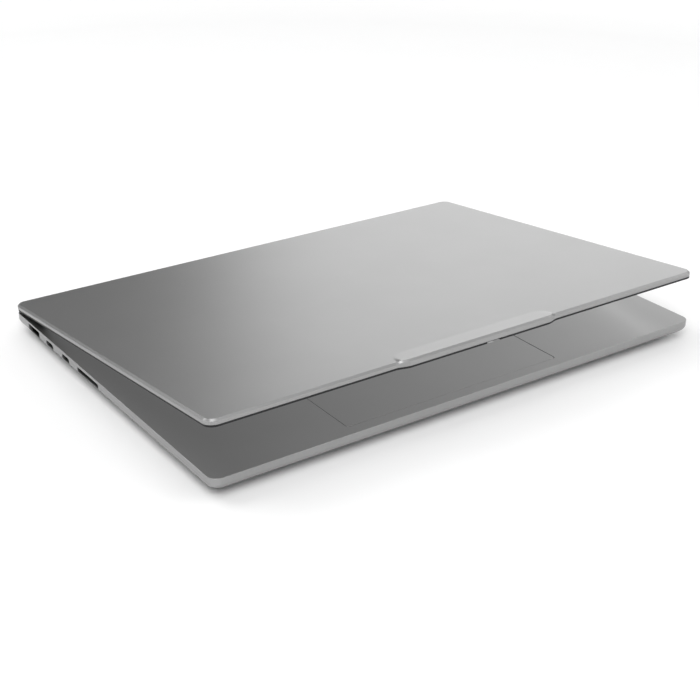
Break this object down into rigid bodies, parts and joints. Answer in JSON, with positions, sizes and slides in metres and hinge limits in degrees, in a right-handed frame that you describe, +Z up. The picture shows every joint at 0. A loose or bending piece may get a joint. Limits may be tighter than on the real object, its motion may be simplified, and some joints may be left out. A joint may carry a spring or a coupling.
{
  "type": "laptop computer",
  "caption": "Slim clamshell laptop computer: aluminium base with keyboard and touchpad, and a display lid on a friction hinge, standing slightly open.",
  "frame": {"origin": "on the floor, under the middle of the whole object's box with the lid at its rest angle", "axes": "+X to the user's right along the hinge, +Y from the front edge to the hinge, +Z up"},
  "size_m": [0.312, 0.2256, 0.0418],
  "materials": {
    "silver_aluminium": "fine bead-blasted, anodised, satin",
    "base_aluminium": "fine bead-blasted, anodised, satin",
    "touchpad_surface": "smooth satin coat over a thin plate",
    "plain_aluminium": "bare rolled sheet",
    "battery_foil": "matte black wrap over foil pouches",
    "black_plastic": "fine matte moulding",
    "key_plastic": "matte soft-touch keycaps",
    "black_rubber": "matte rubber",
    "steel": "plated, lightly brushed",
    "copper": null,
    "circuit_board": "solder-resist green",
    "display_glass": "glossy dark display glass, opaque when off"
  },
  "bodies": {
    "base": {"top_cover": "silver_aluminium", "bottom_cover": "base_aluminium", "rear_foot_strip": "black_rubber", "front_foot_strip": "black_rubber", "bottom_screw_rear_left": "steel", "bottom_screw_rear_right": "steel", "bottom_screw_front_left": "steel", "bottom_screw_front_right": "steel", "keyboard_grid": "black_plastic", "keyboard_backplate": "plain_aluminium", "hdmi_port": "steel", "usb_c_port_rear": "steel", "usb_c_port_front": "steel", "sd_card_slot": "steel", "usb_a_port_rear": "steel", "usb_a_port_front": "steel", "audio_jack": "black_plastic", "motherboard": "circuit_board", "fan_housing_left": "black_plastic", "fan_housing_right": "black_plastic", "heat_sink": "copper", "battery_pack": "battery_foil", "ssd_module": "circuit_board", "wifi_card": "circuit_board", "speaker_left": "black_plastic", "speaker_right": "black_plastic", "hinge_bracket_left": "steel", "hinge_bracket_right": "steel"},
    "lid": {"lid_shell": "silver_aluminium", "lid_gasket": "black_rubber", "display_bezel": "black_plastic", "display_panel": "display_glass", "camera_module": "black_plastic", "lid_hinge_arm_left": "steel", "lid_hinge_arm_right": "steel", "hinge_pin_left": "steel", "hinge_pin_right": "steel"},
    "shutter": {"camera_shutter": "base_aluminium"},
    "touchpad": {"touchpad": "touchpad_surface"},
    "fan_left": {"fan_rotor_left": "black_plastic"},
    "fan_right": {"fan_rotor_right": "black_plastic"},
    "function_key_row_body": {"function_key_row": "key_plastic"},
    "power_button_body": {"power_button": "key_plastic"},
    "number_key_row_body": {"number_key_row": "key_plastic"},
    "backspace_key_body": {"backspace_key": "key_plastic"},
    "tab_key_body": {"tab_key": "key_plastic"},
    "upper_letter_row_body": {"upper_letter_row": "key_plastic"},
    "caps_lock_key_body": {"caps_lock_key": "key_plastic"},
    "home_letter_row_body": {"home_letter_row": "key_plastic"},
    "enter_key_body": {"enter_key": "key_plastic"},
    "left_shift_key_body": {"left_shift_key": "key_plastic"},
    "lower_letter_row_body": {"lower_letter_row": "key_plastic"},
    "right_shift_key_body": {"right_shift_key": "key_plastic"},
    "left_modifier_keys_body": {"left_modifier_keys": "key_plastic"},
    "space_bar_body": {"space_bar": "key_plastic"},
    "right_modifier_keys_body": {"right_modifier_keys": "key_plastic"},
    "left_arrow_key_body": {"left_arrow_key": "key_plastic"},
    "up_arrow_key_body": {"up_arrow_key": "key_plastic"},
    "down_arrow_key_body": {"down_arrow_key": "key_plastic"},
    "right_arrow_key_body": {"right_arrow_key": "key_plastic"}
  },
  "joints": [
    {"name": "lid_hinge", "type": "hinge", "parent": "base", "child": "lid", "pos_m": [0, 0.11028, 0.0108], "axis": [-1, 0, 0], "range_deg": [-6.46, 173.54]},
    {"name": "shutter_slide", "type": "slide", "parent": "lid", "child": "shutter", "axis": [1, 0, 0], "range_m": [0, 0.0045]},
    {"name": "touchpad_click", "type": "hinge", "parent": "base", "child": "touchpad", "pos_m": [-0.00935, -0.02342, 0.0109], "axis": [1, 0, 0], "range_deg": [0, 0.2], "stiffness_Nm_per_rad": 17, "springref_deg": -0.17},
    {"name": "fan_spin_left", "type": "hinge", "parent": "base", "child": "fan_left", "pos_m": [-0.098, 0.06428, 0.0042], "axis": [0, 0, 1], "continuous": true},
    {"name": "fan_spin_right", "type": "hinge", "parent": "base", "child": "fan_right", "pos_m": [0.098, 0.06428, 0.0042], "axis": [0, 0, 1], "continuous": true},
    {"name": "function_key_row_press", "type": "slide", "parent": "base", "child": "function_key_row_body", "axis": [0, 0, -1], "range_m": [0, 0.0013], "stiffness_N_per_m": 250, "springref_m": -0.001},
    {"name": "power_button_press", "type": "slide", "parent": "base", "child": "power_button_body", "axis": [0, 0, -1], "range_m": [0, 0.0013], "stiffness_N_per_m": 250, "springref_m": -0.001},
    {"name": "number_key_row_press", "type": "slide", "parent": "base", "child": "number_key_row_body", "axis": [0, 0, -1], "range_m": [0, 0.0013], "stiffness_N_per_m": 250, "springref_m": -0.001},
    {"name": "backspace_key_press", "type": "slide", "parent": "base", "child": "backspace_key_body", "axis": [0, 0, -1], "range_m": [0, 0.0013], "stiffness_N_per_m": 250, "springref_m": -0.001},
    {"name": "tab_key_press", "type": "slide", "parent": "base", "child": "tab_key_body", "axis": [0, 0, -1], "range_m": [0, 0.0013], "stiffness_N_per_m": 250, "springref_m": -0.001},
    {"name": "upper_letter_row_press", "type": "slide", "parent": "base", "child": "upper_letter_row_body", "axis": [0, 0, -1], "range_m": [0, 0.0013], "stiffness_N_per_m": 250, "springref_m": -0.001},
    {"name": "caps_lock_key_press", "type": "slide", "parent": "base", "child": "caps_lock_key_body", "axis": [0, 0, -1], "range_m": [0, 0.0013], "stiffness_N_per_m": 250, "springref_m": -0.001},
    {"name": "home_letter_row_press", "type": "slide", "parent": "base", "child": "home_letter_row_body", "axis": [0, 0, -1], "range_m": [0, 0.0013], "stiffness_N_per_m": 250, "springref_m": -0.001},
    {"name": "enter_key_press", "type": "slide", "parent": "base", "child": "enter_key_body", "axis": [0, 0, -1], "range_m": [0, 0.0013], "stiffness_N_per_m": 250, "springref_m": -0.001},
    {"name": "left_shift_key_press", "type": "slide", "parent": "base", "child": "left_shift_key_body", "axis": [0, 0, -1], "range_m": [0, 0.0013], "stiffness_N_per_m": 250, "springref_m": -0.001},
    {"name": "lower_letter_row_press", "type": "slide", "parent": "base", "child": "lower_letter_row_body", "axis": [0, 0, -1], "range_m": [0, 0.0013], "stiffness_N_per_m": 250, "springref_m": -0.001},
    {"name": "right_shift_key_press", "type": "slide", "parent": "base", "child": "right_shift_key_body", "axis": [0, 0, -1], "range_m": [0, 0.0013], "stiffness_N_per_m": 250, "springref_m": -0.001},
    {"name": "left_modifier_keys_press", "type": "slide", "parent": "base", "child": "left_modifier_keys_body", "axis": [0, 0, -1], "range_m": [0, 0.0013], "stiffness_N_per_m": 250, "springref_m": -0.001},
    {"name": "space_bar_press", "type": "slide", "parent": "base", "child": "space_bar_body", "axis": [0, 0, -1], "range_m": [0, 0.0013], "stiffness_N_per_m": 250, "springref_m": -0.001},
    {"name": "right_modifier_keys_press", "type": "slide", "parent": "base", "child": "right_modifier_keys_body", "axis": [0, 0, -1], "range_m": [0, 0.0013], "stiffness_N_per_m": 250, "springref_m": -0.001},
    {"name": "left_arrow_key_press", "type": "slide", "parent": "base", "child": "left_arrow_key_body", "axis": [0, 0, -1], "range_m": [0, 0.0013], "stiffness_N_per_m": 250, "springref_m": -0.001},
    {"name": "up_arrow_key_press", "type": "slide", "parent": "base", "child": "up_arrow_key_body", "axis": [0, 0, -1], "range_m": [0, 0.0013], "stiffness_N_per_m": 250, "springref_m": -0.001},
    {"name": "down_arrow_key_press", "type": "slide", "parent": "base", "child": "down_arrow_key_body", "axis": [0, 0, -1], "range_m": [0, 0.0013], "stiffness_N_per_m": 250, "springref_m": -0.001},
    {"name": "right_arrow_key_press", "type": "slide", "parent": "base", "child": "right_arrow_key_body", "axis": [0, 0, -1], "range_m": [0, 0.0013], "stiffness_N_per_m": 250, "springref_m": -0.001}
  ]
}
